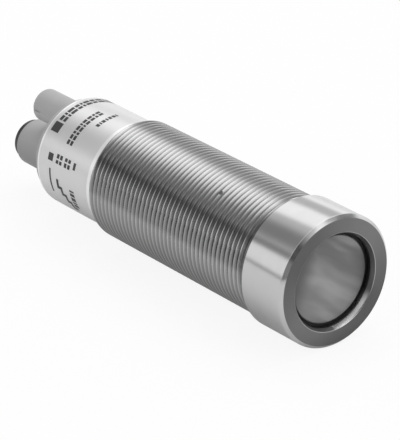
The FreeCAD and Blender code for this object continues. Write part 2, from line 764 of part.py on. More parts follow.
def end_cap():
    """Grey moulding: rim, spigot with a seal groove, connector tower and a keyed socket for the plug."""
    cap = turned("end_cap", [
        (CAP_INNER, "0"),
        (CAP_INNER, SPIGOT_BORE),
        (SPIGOT_FRONT, SPIGOT_BORE),
        (SPIGOT_FRONT, SPIGOT_RADIUS),
        (BARREL_END, SPIGOT_RADIUS),
        (BARREL_END, CAP_RADIUS),
        (f"({CAP_REAR} - cap_rim_chamfer)", CAP_RADIUS),
        (CAP_REAR, f"({CAP_RADIUS} - cap_rim_chamfer)"),
        (CAP_REAR, "0"),
    ])
    tower = across(cap, CAP_REAR)
    circle(tower, "0", f"-{TOWER_DROP}", TOWER_RADIUS)
    pad(cap, tower, "tower_length", reverse=True)
    dress_rim(cap, "Chamfer", TOWER_END, TOWER_RADIUS, "tower_end_chamfer")
    boss = across(cap, CAP_INNER)
    circle(boss, "0", SOCKET_RISE, "(socket_radius + socket_wall)")
    pad(cap, boss, f"({CAP_INNER} - {SOCKET_INNER})")
    groove_front = f"({GROOVE_REAR} - cap_seal_groove)"
    revolve(cap, [
        (groove_front, "(bore_radius - cap_seal_side)"),
        (groove_front, "bore_radius"),
        (GROOVE_REAR, "bore_radius"),
        (GROOVE_REAR, "(bore_radius - cap_seal_side)"),
    ], "PartDesign::Groove")
    board_slot(cap, SPIGOT_FRONT, f"({BOARD_REAR} - {SPIGOT_FRONT} + board_play)")
    seat = across(cap, INSERT_FRONT)
    circle(seat, "0", f"-{TOWER_DROP}", f"({INSERT_FLANGE_RADIUS} + insert_play)")
    pocket(cap, seat, "insert_flange_thickness")
    bore = across(cap, CAP_INNER)
    circle(bore, "0", f"-{TOWER_DROP}", INSERT_BORE)
    pocket(cap, bore, f"({TOWER_END} - {CAP_INNER})")
    guides = across(cap, CAP_INNER)
    for sign in ("", "-"):
        circle(guides, f"{sign}{LAMP_SIDE}", LAMP_RISE, "(guide_radius + guide_play)")
    pocket(cap, guides, "cap_wall")
    plug_socket(cap)


def plug_socket(cap):
    """Round socket with four key slots, a pocket for the plug's seal and four pin holes in its floor."""
    socket = across(cap, SOCKET_FLOOR)
    circle(socket, "0", SOCKET_RISE, "socket_radius")
    pocket(cap, socket, "socket_depth")
    seal_pocket = across(cap, f"({CAP_REAR} - plug_seal_side + plug_face_gap)")
    circle(seal_pocket, "0", SOCKET_RISE, "(socket_radius + plug_seal_side + key_slot_reach)")
    pocket(cap, seal_pocket, "plug_seal_side")
    for slope in ("rising", "falling"):
        slots = across(cap, SOCKET_FLOOR)
        diagonal_bar(slots, "(socket_radius + key_slot_reach)", "(key_slot_width / 2)", SOCKET_RISE, slope)
        pocket(cap, slots, "socket_depth")
    holes = across(cap, SOCKET_INNER)
    for side, height, _ in SOCKET_PINS:
        circle(holes, side, height, "(socket_pin_radius + pin_hole_play)")
    pocket(cap, holes, "socket_floor")


def diagonal_bar(sketch, reach, half_width, height, slope):
    """Bar through a point on the vertical axis, at 45 degrees, that reaches as far on both sides."""
    far = f"(({reach} + {half_width}) * sqrt(0.5))"
    near = f"(({reach} - {half_width}) * sqrt(0.5))"
    right_sign, left_sign = ("", "-") if slope == "rising" else ("-", "")
    outline(sketch, [
        (f"{right_sign}{far}", f"({height} + {near})"),
        (f"{right_sign}{near}", f"({height} + {far})"),
        (f"{left_sign}{far}", f"({height} - {near})"),
        (f"{left_sign}{near}", f"({height} - {far})"),
    ])


def connector_insert():
    """Black insert with an inner flange, a keyed cavity and holes for the five pins."""
    insert = turned("connector_insert", [
        (INSERT_FRONT, "0"),
        (INSERT_FRONT, INSERT_FLANGE_RADIUS),
        (CAP_INNER, INSERT_FLANGE_RADIUS),
        (CAP_INNER, "insert_radius"),
        (f"({INSERT_END} - insert_end_chamfer)", "insert_radius"),
        (INSERT_END, "(insert_radius - insert_end_chamfer)"),
        (INSERT_END, CAVITY_RADIUS),
        (CAVITY_FLOOR, CAVITY_RADIUS),
        (CAVITY_FLOOR, "0"),
    ], height=f"-{TOWER_DROP}")
    key = across(insert, CAVITY_FLOOR)
    rectangle(key, "-(insert_key_width / 2)", "(insert_key_width / 2)",
              f"({CAVITY_RADIUS} - insert_key_height)", f"(({CAVITY_RADIUS} + insert_radius) / 2)")
    pad(insert, key, f"({INSERT_END} - pin_recess - {CAVITY_FLOOR})", reverse=True)
    holes = across(insert, INSERT_FRONT)
    for sign_side, sign_height in QUARTERS:
        circle(holes, f"{sign_side}{PIN_SQUARE}", f"{sign_height}{PIN_SQUARE}",
               "(pin_radius + pin_hole_play)")
    circle(holes, "0", "0", "(pin_radius + pin_hole_play)")
    pocket(insert, holes, f"({CAVITY_FLOOR} - {INSERT_FRONT})")


def removable_plug():
    """Closed grey cover, keyed core with contact sleeves, face seal and the temperature probe inside."""
    inner_radius = "(plug_radius - plug_wall)"
    inner_end = f"({PLUG_END} - plug_end_wall)"
    core_rear = f"({PLUG_FRONT} + plug_core_length)"
    spigot_radius = "(socket_radius - plug_spigot_play)"
    cover = turned("teach_plug_cover", [
        (PLUG_FRONT, inner_radius),
        (PLUG_FRONT, "plug_radius"),
        (PLUG_END, "plug_radius"),
        (PLUG_END, "0"),
        (inner_end, "0"),
        (inner_end, inner_radius),
    ], height=SOCKET_RISE)
    dress_rim(cover, "Fillet", PLUG_END, "plug_radius", "plug_end_rounding")
    mark = across(cover, f"({PLUG_END} - plug_mark_length)")
    rectangle(mark, "-(plug_radius + plug_mark_depth)", "-(plug_radius - plug_mark_depth)",
              "-(plug_mark_width / 2)", "(plug_mark_width / 2)")
    pocket(cover, mark, "plug_mark_length")
    core = turned("teach_plug_core", [
        (PLUG_TIP, "0"),
        (PLUG_TIP, spigot_radius),
        (PLUG_FRONT, spigot_radius),
        (PLUG_FRONT, f"({inner_radius} - plug_core_play)"),
        (core_rear, f"({inner_radius} - plug_core_play)"),
        (core_rear, "0"),
    ], height=SOCKET_RISE)
    key = across(core, PLUG_TIP)
    half_width = "(key_slot_width / 2 - key_play)"
    far = f"(({spigot_radius} + key_slot_reach) * sqrt(0.5))"
    near = f"({half_width} * sqrt(0.5))"
    outline(key, [(near, f"-{near}"), (f"({far} + {near})", f"({far} - {near})"),
                  (f"({far} - {near})", f"({far} + {near})"), (f"-{near}", near)])
    pad(core, key, "plug_key_length", reverse=True)
    holes = across(core, PLUG_TIP)
    for sign_side, sign_height in QUARTERS:
        circle(holes, f"{sign_side}socket_pin_offset", f"{sign_height}socket_pin_offset",
               "plug_contact_radius")
    pocket(core, holes, "plug_contact_length")
    seal_ring("plug_seal", f"({PLUG_FRONT} - plug_seal_side)", "(socket_radius + key_play)", "plug_seal_side",
              height=SOCKET_RISE)
    for number, (sign_side, sign_height) in enumerate(QUARTERS, start=1):
        side = f"{sign_side}socket_pin_offset"
        height = f"({SOCKET_RISE} {sign_height or '+'} socket_pin_offset)"
        sleeve = new_body(f"plug_contact_{number}", PLUG_TIP, side, height)
        ring = across(sleeve)
        circle(ring, "0", "0", "plug_contact_radius")
        circle(ring, "0", "0", "plug_contact_bore")
        pad(sleeve, ring, "plug_contact_length", reverse=True)
    turned("temperature_probe", [
        (core_rear, "0"),
        (core_rear, "probe_radius"),
        (f"({core_rear} + probe_length)", "probe_radius"),
        (f"({core_rear} + probe_length)", "0"),
    ], height=SOCKET_RISE)


def check_and_export():
    """Stop on any failed object, then write one STEP file per node."""
    doc.recompute()
    for item in doc.Objects:
        if "Invalid" in item.State or "Error" in item.State:
            raise RuntimeError(f"{item.Name} failed: {item.State}")
    os.makedirs("parts", exist_ok=True)
    for body in NODES:
        if body.Shape.isNull() or not body.Shape.isValid():
            raise RuntimeError(f"{body.Label} has no valid shape")
        body.Shape.exportStep(f"parts/{body.Label}.step")


head_ring()
threaded_barrel()
label_band()
membrane_cup()
transducer_stack()
transducer_carrier()
piezo_leads()
circuit_board()
transformer()
board_packages()
crystal()
buffer_capacitors()
chip_components()
lamps_and_guides()
end_cap()
seal_ring("cap_seal", f"({GROOVE_REAR} - (cap_seal_groove + cap_seal_side) / 2)",
          "(bore_radius - cap_seal_side)", "cap_seal_side")
connector_insert()
connector_and_socket_pins()
removable_plug()
check_and_export()
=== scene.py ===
import json
import math

import bmesh
import bpy
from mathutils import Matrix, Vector


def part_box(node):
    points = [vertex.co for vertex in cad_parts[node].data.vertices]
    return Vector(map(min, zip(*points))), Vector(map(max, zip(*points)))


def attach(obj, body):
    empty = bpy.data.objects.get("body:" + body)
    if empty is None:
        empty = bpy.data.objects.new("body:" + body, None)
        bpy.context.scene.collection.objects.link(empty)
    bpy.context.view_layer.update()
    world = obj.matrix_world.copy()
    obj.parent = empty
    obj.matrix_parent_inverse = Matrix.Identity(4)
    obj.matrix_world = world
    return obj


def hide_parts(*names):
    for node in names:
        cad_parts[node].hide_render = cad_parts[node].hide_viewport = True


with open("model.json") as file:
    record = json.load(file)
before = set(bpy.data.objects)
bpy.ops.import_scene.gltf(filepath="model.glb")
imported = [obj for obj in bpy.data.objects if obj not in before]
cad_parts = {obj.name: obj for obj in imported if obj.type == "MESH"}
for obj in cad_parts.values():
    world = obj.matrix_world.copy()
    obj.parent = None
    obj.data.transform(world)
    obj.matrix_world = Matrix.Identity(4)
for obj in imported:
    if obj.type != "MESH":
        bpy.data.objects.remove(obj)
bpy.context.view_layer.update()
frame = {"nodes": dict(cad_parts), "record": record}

# Ultrasonic sensor in a threaded barrel, lying on a pale studio floor, in metres.
# The sound leaves along +X from the front face, whose centre is the origin, and +Z is up.
# Depths are counted from the front face towards the rear, so a point at a depth has x = -depth.

MM = 0.001


def depth_span(node):
    """Nearest and farthest depth of a node of the frame."""
    low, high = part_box(node)
    return -high.x, -low.x


def outer_radius(node):
    """Radius of a turned node of the frame, whatever line it was turned about."""
    low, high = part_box(node)
    return (high.y - low.y) / 2


# Head ring and the mouth in front of the transducer
RING_LENGTH = depth_span("head_ring")[1]
RING_RADIUS = outer_radius("head_ring")
MOUTH_RADIUS = outer_radius("decoupling_ring") + 0.03 * MM
MOUTH_BEVEL_WIDTH = 0.5 * MM
MOUTH_BEVEL_DEPTH = 1.17 * MM
MOUTH_ROUNDING = 0.35 * MM
MOUTH_EDGE = MOUTH_RADIUS + MOUTH_BEVEL_WIDTH
RING_CHAMFER = 0.8 * MM
RING_REAR_CHAMFER = 0.3 * MM
LIP_THICKNESS = 4.0 * MM

# Turns are counted round the axis from +Z towards -Y; the lip's painted highlight lies between two turns,
# and the face's painted sheen peaks at one
LIP_HIGHLIGHT_START = math.radians(-190)
LIP_HIGHLIGHT_END = math.radians(-126)
LIP_HIGHLIGHT_SOFTNESS = 0.2
FACE_PAINTED_SHEEN_TURN = math.radians(140)

# Barrel, from its nose inside the ring to its end under the cap
NOSE_FRONT, BARREL_END = depth_span("threaded_barrel")
NOSE_RADIUS = 13.15 * MM
NOSE_PLAY = 0.05 * MM
BORE_RADIUS = outer_radius("cap_seal")
THREAD_CREST = outer_radius("threaded_barrel")
THREAD_ROOT = 14.1 * MM
THREAD_PITCH = 1.5 * MM
THREAD_START = RING_LENGTH + 0.8 * MM
THREAD_LEAD_IN = 0.7 * MM
THREAD_RUNOUT = 1.1 * MM
THREAD_FLANK_ANGLE = math.radians(30)
THREAD_SEGMENTS = 128

# Half the flat crest as a share of the pitch, and the part of the flank that the root's curve takes
CREST_HALF = 0.085
ROOT_ROUNDING = 0.14
ROOT_STEPS = 4

# Transducer's disc, seen in the mouth, and the lean of the streaks on it
MEMBRANE_GAP = 0.74 * MM
MEMBRANE_ROUNDING = 0.35 * MM
FLANGE_THICKNESS = 0.7 * MM
SKIRT_WALL = 0.5 * MM
STREAK_LEAN = math.radians(34.45)

# Two stripes of painted shade along the thread, as (strength, first turn, last turn) in degrees
SHADE_STRIPES = ((0.4, 51, 61), (0.33, 71, 86))
SHADE_STRIPE_SOFTNESS = 4

# One dark speck that sits on the thread
SPECK_DEPTH = 31.5 * MM
SPECK_TURN = math.radians(30)
SPECK_CORE = 0.35 * MM
SPECK_EDGE = 0.75 * MM
SPECK = (-SPECK_DEPTH, -THREAD_CREST * math.sin(SPECK_TURN), THREAD_CREST * math.cos(SPECK_TURN))

# Printed foil round the rear of the barrel
LABEL_FRONT, LABEL_REAR = depth_span("label_band")
LABEL_RADIUS = outer_radius("label_band")
FOIL_THICKNESS = 0.1 * MM
# Widths of the painted highlights along the foil's front and rear rims
FOIL_FRONT_HIGHLIGHT = 1.2 * MM
FOIL_REAR_HIGHLIGHT = 0.5 * MM


# Shader arithmetic

class Signal:
    """A socket that carries a value, written in ordinary arithmetic."""

    def __init__(self, recipe, socket):
        self.recipe = recipe
        self.socket = socket

    def __add__(self, other):
        return self.recipe.maths("ADD", self, other)

    def __radd__(self, other):
        return self.recipe.maths("ADD", other, self)

    def __sub__(self, other):
        return self.recipe.maths("SUBTRACT", self, other)

    def __rsub__(self, other):
        return self.recipe.maths("SUBTRACT", other, self)

    def __mul__(self, other):
        return self.recipe.maths("MULTIPLY", self, other)

    def __rmul__(self, other):
        return self.recipe.maths("MULTIPLY", other, self)

    def __truediv__(self, other):
        return self.recipe.maths("DIVIDE", self, other)


class Recipe:
    """Builds the nodes of one material or of the studio's surroundings."""

    def __init__(self, tree):
        self.tree = tree
        tree.nodes.clear()

    def node(self, kind, settings=None, links=None, out=0):
        """One node with its settings and the values or links of its sockets; gives one output."""
        made = self.tree.nodes.new(kind)
        for name, value in (settings or {}).items():
            setattr(made, name, value)
        for socket, value in (links or {}).items():
            self.feed(made.inputs[socket], value)
        return Signal(self, made.outputs[out])

    def feed(self, socket, value):
        """Links or sets one socket; a single number given as a colour is a grey."""
        if isinstance(value, Signal):
            self.tree.links.new(value.socket, socket)
        elif socket.type == "RGBA" and not hasattr(value, "__len__"):
            socket.default_value = (value, value, value, 1)
        elif socket.type == "RGBA" and len(value) == 3:
            socket.default_value = (*value, 1)
        else:
            socket.default_value = value

    def maths(self, operation, *values):
        return self.node("ShaderNodeMath", {"operation": operation}, dict(enumerate(values)))

    def point(self):
        """The place on the object, which turns and slides with it."""
        return self.node("ShaderNodeTexCoord", out="Object")

    def axes(self, vector):
        split = self.tree.nodes.new("ShaderNodeSeparateXYZ")
        self.feed(split.inputs[0], vector)
        return [Signal(self, output) for output in split.outputs]

    def join(self, x, y, z):
        return self.node("ShaderNodeCombineXYZ", links={0: x, 1: y, 2: z})

    def step(self, value, low, high):
        """Smooth step from 0 below low to 1 above high."""
        sockets = {"Value": value, "From Min": low, "From Max": high}
        return self.node("ShaderNodeMapRange", {"interpolation_type": "SMOOTHSTEP"}, sockets)

    def band(self, value, low, high, soft):
        """1 between low and high, with soft edges."""
        return self.step(value, low - soft, low + soft) - self.step(value, high - soft, high + soft)

    def noise(self, vector, scale, detail=2.0, roughness=0.5):
        sockets = {"Vector": vector, "Scale": scale, "Detail": detail, "Roughness": roughness}
        return self.node("ShaderNodeTexNoise", links=sockets)

    def mix(self, factor, first, second):
        """Blend of two colours."""
        made = self.tree.nodes.new("ShaderNodeMix")
        made.data_type = "RGBA"
        self.feed(made.inputs[0], factor)
        self.feed(made.inputs[6], first)
        self.feed(made.inputs[7], second)
        return Signal(self, made.outputs[2])

    def bump(self, height, distance, strength=1.0):
        """Relief of a height signal from 0 to 1, as deep as the distance."""
        return self.node("ShaderNodeBump", links={"Height": height * strength, "Distance": distance})

    def surface(self, **values):
        """Ends the material in one principled shader, whose sockets are named as base_color or ior."""
        sockets = {}
        for name, value in values.items():
            sockets[name.title().replace("_", " ").replace("Ior", "IOR")] = value
        shader = self.node("ShaderNodeBsdfPrincipled", links=sockets)
        self.node_output("ShaderNodeOutputMaterial", shader)

    def rays(self):
        """Which rays meet the surface: the camera's own, mirrored ones, and ones through something clear."""
        path = self.tree.nodes.new("ShaderNodeLightPath")
        kinds = ("Camera", "Glossy", "Transmission")
        return [Signal(self, path.outputs[f"Is {kind} Ray"]) for kind in kinds]

    def node_output(self, kind, shader):
        end = self.tree.nodes.new(kind)
        self.tree.links.new(shader.socket, end.inputs["Surface"])


def material(name):
    """Decorator: turns a function that fills a recipe into a material of that name."""
    def build(fill):
        made = bpy.data.materials.new(name)
        made.use_nodes = True
        fill(Recipe(made.node_tree))
        return made
    return build


def round_the_axis(recipe):
    """Depth, radius and turn (from +Z towards -Y, in radians) of a point round the barrel's axis."""
    x, y, z = recipe.axes(recipe.point())
    radius = recipe.maths("SQRT", y * y + z * z)
    turn = recipe.maths("ARCTAN2", -1 * y, z)
    return -1 * x, radius, turn


# Finishes. Noise and waves are scaled per metre, so a scale of 1000 repeats about every millimetre.
# Colours are linear, and a single number is a grey.

# Depth within which the ring's surface counts as its flat face, and the width of its edge to the lip
FACE_DEPTH = 0.06 * MM
LIP_EDGE_WIDTH = 0.05 * MM

# Heights between which the painted shade on the grey mouldings fades, from darker below to unshaded above
PAINTED_SHADE_LOW = -9 * MM
PAINTED_SHADE_HIGH = 3 * MM


@material("polished_steel")
def polished_steel(m):
    """Turned and polished: fine tool marks, a dull front face whose dark tone is painted shade and which
    carries a painted sheen in two opposite sectors, and a lip with a painted highlight at one side."""
    depth, radius, turn = round_the_axis(m)
    flat = 1 - m.step(depth, FACE_DEPTH / 6, FACE_DEPTH)
    lip = 1 - m.step(radius, MOUTH_EDGE - 0.02 * MM, MOUTH_EDGE + LIP_EDGE_WIDTH)
    # In one sector the lip is lifted out of the face's painted shade to a lighter tone, as a painted
    # highlight, and is rougher there.
    lip_highlight = lip * m.band(turn, LIP_HIGHLIGHT_START, LIP_HIGHLIGHT_END, LIP_HIGHLIGHT_SOFTNESS)
    face = (flat + lip - flat * lip) * (1 - lip_highlight)
    lines = m.noise(m.join(depth * 9000, radius * 9000, 0.0), 1.0, 3.0)
    wear = m.noise(m.point(), 300.0, 4.0)
    cloud = m.noise(m.point(), 150.0, 3.0)
    side = m.mix(wear, 0.53, 0.58)
    # The front face's dark tone is painted shade, and its brightening in two opposite sectors is a painted
    # sheen.
    painted_sheen = 0.4 * m.maths("COSINE", 2 * (turn - FACE_PAINTED_SHEEN_TURN))
    front = m.mix(0.4 + 0.25 * cloud + painted_sheen, 0.105, 0.205)
    m.surface(
        base_color=m.mix(lip_highlight, m.mix(face, side, front), 0.42),
        metallic=1.0,
        roughness=0.14 + 0.05 * lines + 0.2 * face + 0.1 * lip_highlight,
        normal=m.bump(lines, 0.004 * MM, 0.35 + 0.5 * face),
    )


@material("thread_steel")
def thread_steel(m):
    """Bright cut thread: tool marks along the turns, painted shade on the flanks and more in the roots, and
    two stripes of painted shade on one side.
    """
    depth, radius, turn = round_the_axis(m)
    marks = m.noise(m.join(depth * 6000, radius * 6000, turn * 3), 1.0, 3.0)
    threaded = m.band(depth, THREAD_START, LABEL_FRONT, 0.3 * MM)
    # Flanks and, darker still, roots take painted shade in their colour; the crests keep the bright tone.
    flank = (1 - m.step(radius, THREAD_CREST - 0.3 * MM, THREAD_CREST - 0.05 * MM)) * threaded
    root = (1 - m.step(radius, THREAD_ROOT + 0.15 * MM, THREAD_ROOT + 0.5 * MM)) * threaded
    bright = m.mix(marks, 0.39, 0.48)
    body_tone = m.mix(root, m.mix(flank, bright, 0.3), 0.22)
    degrees = turn * math.degrees(1)
    # Two stripes round the axis are darkened as painted shade.
    stripe_shade = 0.0
    for strength, first, last in SHADE_STRIPES:
        stripe_shade = stripe_shade + strength * m.band(degrees, first, last, SHADE_STRIPE_SOFTNESS)
    striped_tone = m.mix(stripe_shade * threaded, body_tone, 0.04)
    distance = {"operation": "DISTANCE"}
    away = m.node("ShaderNodeVectorMath", distance, {0: m.point(), 1: SPECK}, out=1)
    speck = 1 - m.step(away, SPECK_CORE, SPECK_EDGE)
    m.surface(
        base_color=m.mix(0.9 * speck, striped_tone, 0.05),
        metallic=1.0,
        roughness=0.14 + 0.07 * marks + 0.03 * flank,
        normal=m.bump(marks, 0.004 * MM, 0.4),
    )


@material("label_foil")
def label_foil(m):
    """Pale satin foil with a faint brushed grain round the band and a painted highlight along each rim."""
    depth, radius, turn = round_the_axis(m)
    grain = m.noise(m.join(depth * 5000, turn * 20, 0.0), 1.0, 3.0)
    cloud = m.noise(m.point(), 120.0, 2.0)
    # Both rims of the foil are lightened as a painted highlight.
    rim_highlight = 1 - m.band(depth, LABEL_FRONT + FOIL_FRONT_HIGHLIGHT, LABEL_REAR - FOIL_REAR_HIGHLIGHT, 0.2 * MM)
    plain = m.mix(0.5 * grain + 0.5 * cloud, 0.61, 0.67)
    m.surface(
        base_color=m.mix(rim_highlight, plain, 0.82),
        metallic=0.62,
        roughness=0.31 + 0.08 * grain,
        normal=m.bump(grain, 0.003 * MM, 0.3),
    )


@material("print_ink")
def print_ink(m):
    """Dark printing ink, slightly mottled."""
    mottle = m.noise(m.point(), 4000.0, 2.0)
    m.surface(base_color=m.mix(mottle, (0.016, 0.016, 0.017), (0.035, 0.035, 0.036)), roughness=0.5)


@material("membrane_foil")
def membrane_foil(m):
    """Satin disc with broad soft streaks, a band of painted shade across it and a painted shadow of the lip
    towards its top and -Y edge.
    """
    x, y, z = m.axes(m.point())
    lean_y, lean_z = math.cos(STREAK_LEAN), math.sin(STREAK_LEAN)
    along = lean_y * y - lean_z * z
    across = lean_z * y + lean_y * z
    streak = m.noise(m.join(along * 60, across * 260, 0.0), 1.0, 1.5)
    grain = m.noise(m.point(), 2500.0, 3.0)
    # A wavering band across the upper disc is darkened as painted shade.
    painted_shade_band = 0.7 * m.band(across + 12 * MM * (streak - 0.5), 2.5 * MM, 8.5 * MM, 2 * MM)
    # The disc darkens towards its top and -Y edge as a painted shadow of the lip.
    edge = 0.9 * m.step(0.45 * z - 0.9 * y, 4 * MM, 9.5 * MM)
    bright = m.mix(m.step(streak, 0.3, 0.7), 0.23, 0.35)
    m.surface(
        base_color=m.mix(m.maths("MAXIMUM", painted_shade_band, edge), bright, 0.11),
        metallic=0.6,
        roughness=0.42 + 0.1 * grain,
        normal=m.bump(grain, 0.01 * MM, 0.25),
    )


@material("black_rubber")
def black_rubber(m):
    speck = m.noise(m.point(), 3000.0, 3.0)
    m.surface(
        base_color=m.mix(speck, 0.010, 0.022),
        roughness=0.65 + 0.15 * speck,
        normal=m.bump(speck, 0.02 * MM, 0.3),
    )


@material("glass_fibre_board")
def glass_fibre_board(m):
    """Solder mask over woven glass cloth and copper tracks."""
    x, y, z = m.axes(m.point())
    weave = 0.5 + 0.25 * m.maths("SINE", x * 9000) + 0.25 * m.maths("SINE", y * 9000)
    tracks = m.step(m.maths("SINE", (y + z) * 5200 + 3 * m.noise(m.point(), 160.0)), 0.2, 0.35)
    m.surface(
        base_color=m.mix(0.6 * tracks + 0.2 * weave, (0.03, 0.14, 0.06), (0.07, 0.27, 0.12)),
        roughness=0.32 + 0.1 * weave,
        normal=m.bump(tracks + 0.2 * weave, 0.02 * MM),
    )


WIRE_PITCH = 0.14 * MM


@material("wound_copper")
def wound_copper(m):
    """Enamelled wire, one groove to each turn."""
    x, _, _ = m.axes(m.point())
    turns = 0.5 + 0.5 * m.maths("SINE", x * 2 * math.pi / WIRE_PITCH)
    patch = m.noise(m.point(), 700.0)
    m.surface(
        base_color=m.mix(patch, (0.48, 0.19, 0.07), (0.68, 0.31, 0.12)),
        metallic=0.8,
        roughness=0.28 + 0.1 * patch,
        normal=m.bump(turns, 0.04 * MM),
    )


def plated(m, dark, light, roughness):
    """Bare drawn or silvered metal with fine drawing lines."""
    x, y, z = m.axes(m.point())
    lines = m.noise(m.join(x * 400, y * 6000, z * 6000), 1.0, 3.0)
    m.surface(
        base_color=m.mix(lines, dark, light),
        metallic=1.0,
        roughness=roughness + 0.1 * lines,
        normal=m.bump(lines, 0.005 * MM),
    )


@material("drawn_aluminium")
def drawn_aluminium(m):
    plated(m, (0.62, 0.62, 0.63), (0.76, 0.76, 0.77), 0.24)


@material("silvered_ceramic")
def silvered_ceramic(m):
    plated(m, (0.50, 0.46, 0.38), (0.62, 0.57, 0.47), 0.38)


def clear_resin(m, tint, deep):
    """Clear rod or lens: a smooth skin over a slightly cloudy body."""
    cloud = m.noise(m.point(), 500.0, 3.0)
    m.surface(
        base_color=m.mix(cloud, deep, tint),
        roughness=0.08 + 0.08 * cloud,
        transmission_weight=0.5,
        ior=1.49,
    )


@material("light_rod_resin")
def light_rod_resin(m):
    clear_resin(m, (0.80, 0.80, 0.78), (0.66, 0.66, 0.64))


@material("lamp_resin")
def lamp_resin(m):
    clear_resin(m, (0.86, 0.80, 0.52), (0.74, 0.66, 0.38))


def moulded(m, dark, light, roughness, texture=0.02 * MM, painted_shade=0.0):
    """Moulding: a fine spark-eroded texture, slight cloudiness of colour, and painted shade where given."""
    grain = m.noise(m.point(), 2600.0, 3.0, 0.6)
    cloud = m.noise(m.point(), 180.0, 2.0)
    body_tone = m.mix(0.35 * grain + 0.65 * cloud, dark, light)
    m.surface(
        base_color=m.mix(painted_shade, body_tone, 0.0),
        roughness=roughness + 0.12 * grain,
        normal=m.bump(grain, texture, 0.4),
    )


@material("grey_plastic")
def grey_plastic(m):
    """Grey moulding, with painted shade that darkens it towards the side that it lies on."""
    x, y, z = m.axes(m.point())
    # Painted shade, darker towards the bottom.
    painted_shade = 0.38 * (1 - m.step(z, PAINTED_SHADE_LOW, PAINTED_SHADE_HIGH))
    moulded(m, 0.32, 0.37, 0.42, painted_shade=painted_shade)


@material("carrier_plastic")
def carrier_plastic(m):
    moulded(m, (0.08, 0.08, 0.085), (0.12, 0.12, 0.125), 0.5)


@material("black_plastic")
def black_plastic(m):
    moulded(m, 0.010, 0.022, 0.35)


@material("damping_rubber")
def damping_rubber(m):
    moulded(m, (0.10, 0.10, 0.11), (0.14, 0.14, 0.15), 0.7, 0.06 * MM)


@material("filled_epoxy")
def filled_epoxy(m):
    moulded(m, (0.62, 0.60, 0.54), (0.72, 0.70, 0.64), 0.55, 0.05 * MM)


@material("sintered_ferrite")
def sintered_ferrite(m):
    moulded(m, (0.045, 0.045, 0.047), (0.075, 0.075, 0.078), 0.5, 0.04 * MM)


@material("moulded_package")
def moulded_package(m):
    moulded(m, (0.022, 0.022, 0.023), (0.038, 0.038, 0.039), 0.45, 0.03 * MM)


@material("chip_ceramic")
def chip_ceramic(m):
    moulded(m, (0.38, 0.29, 0.20), (0.50, 0.41, 0.30), 0.4)


@material("lead_insulation")
def lead_insulation(m):
    moulded(m, (0.36, 0.035, 0.03), (0.48, 0.055, 0.045), 0.42)


@material("contact_gold")
def contact_gold(m):
    rub = m.noise(m.point(), 1500.0, 3.0)
    m.surface(
        base_color=m.mix(rub, (0.78, 0.57, 0.24), (0.88, 0.68, 0.33)),
        metallic=1.0,
        roughness=0.2 + 0.15 * rub,
    )


# Meshes

SEGMENTS = 192
CORNER_STEPS = 5


def rounded(corners):
    """Outline with its corners rounded: each corner is (depth, radius) or (depth, radius, rounding)."""
    outline = []
    count = len(corners)
    for number, corner in enumerate(corners):
        here = Vector(corner[:2])
        rounding = corner[2] if len(corner) > 2 else 0.0
        if rounding == 0:
            outline.append(here)
            continue
        back = (Vector(corners[number - 1][:2]) - here).normalized()
        ahead = (Vector(corners[(number + 1) % count][:2]) - here).normalized()
        half_angle = back.angle(ahead) / 2
        start = here + back * rounding / math.tan(half_angle)
        end = here + ahead * rounding / math.tan(half_angle)
        middle = here + (back + ahead).normalized() * rounding / math.sin(half_angle)
        for step in range(CORNER_STEPS + 1):
            direction = (start - middle).lerp(end - middle, step / CORNER_STEPS)
            outline.append(middle + direction.normalized() * rounding)
    return outline


def place(depth, radius, turn):
    """Point at a depth and radius, at a turn round the axis from +Z towards -Y."""
    return -depth, -radius * math.sin(turn), radius * math.cos(turn)


def lathe_faces(mesh, outline, closed=True, segments=SEGMENTS):
    """Turns an outline of (depth, radius) points about the X axis, into a bmesh."""
    turns = [2 * math.pi * number / segments for number in range(segments)]
    rings = []
    for depth, radius in outline:
        if radius == 0:
            rings.append([mesh.verts.new((-depth, 0, 0))])
        else:
            rings.append([mesh.verts.new(place(depth, radius, turn)) for turn in turns])
    pairs = list(zip(rings, rings[1:] + rings[:1]))
    for first, second in pairs if closed else pairs[:-1]:
        for number in range(segments):
            following = (number + 1) % segments
            corners = [
                first[number % len(first)],
                first[following % len(first)],
                second[following % len(second)],
                second[number % len(second)],
            ]
            corners = list(dict.fromkeys(corners))
            if len(corners) > 2:
                mesh.faces.new(corners)


SHARP_ANGLE = math.radians(32)


def finish_piece(mesh, name, finish, body, replaced=()):
    """Bmesh to a shown piece that rides on a body, takes a slot's finish and stands for CAD nodes."""
    bmesh.ops.remove_doubles(mesh, verts=mesh.verts, dist=0.0001 * MM)
    bmesh.ops.dissolve_degenerate(mesh, edges=mesh.edges, dist=0.0001 * MM)
    bmesh.ops.recalc_face_normals(mesh, faces=mesh.faces)
    data = bpy.data.meshes.new(name)
    mesh.to_mesh(data)
    mesh.free()
    data.materials.append(finish)
    data.shade_smooth()
    data.set_sharp_from_angle(angle=SHARP_ANGLE)
    piece = bpy.data.objects.new(name, data)
    bpy.context.scene.collection.objects.link(piece)
    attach(piece, body)
    if replaced:
        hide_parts(*replaced)
    return piece


def turned_piece(name, corners, finish, replaced):
    """Turned piece of the housing, from the corners of its section."""
    mesh = bmesh.new()
    lathe_faces(mesh, rounded(corners))
    finish_piece(mesh, name, finish, "housing", replaced)


